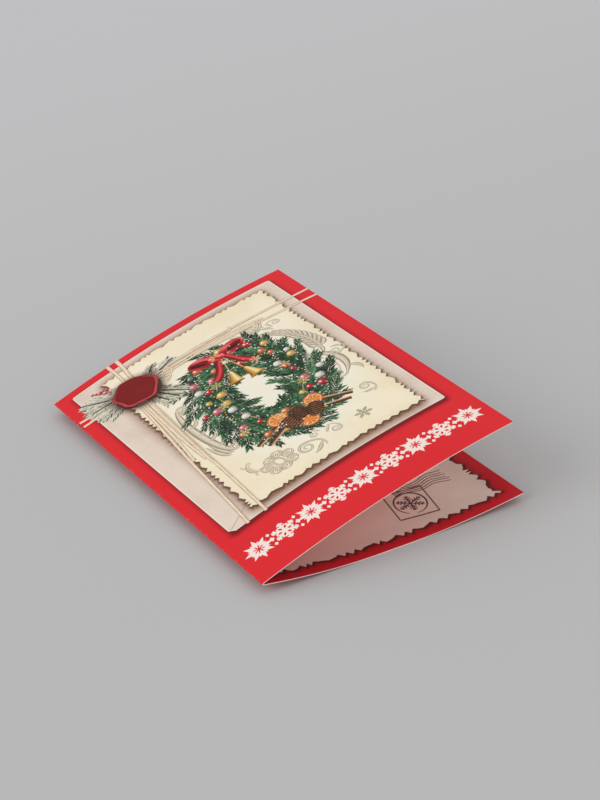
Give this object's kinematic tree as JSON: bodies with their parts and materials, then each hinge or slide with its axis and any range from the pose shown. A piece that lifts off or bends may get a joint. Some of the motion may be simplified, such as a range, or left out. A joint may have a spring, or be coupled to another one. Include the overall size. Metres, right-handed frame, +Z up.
{
  "type": "greeting card",
  "caption": "Folded greeting card of coated printed card, scored down its left side, lying on its back page and sprung a little open.",
  "frame": {"origin": "under the middle of the card's box, on the surface that it lies on", "axes": "+X from the fold to the fore edges, +Y up the page, +Z up through the cover"},
  "size_m": [0.1174, 0.182, 0.037],
  "materials": {
    "printed_card": "satin",
    "cream_print": "satin",
    "evergreen_print": "satin",
    "seal_print": "satin",
    "gilt_print": "satin",
    "brown_print": "satin"
  },
  "bodies": {
    "root": {"folded_card": "printed_card"}
  },
  "joints": []
}
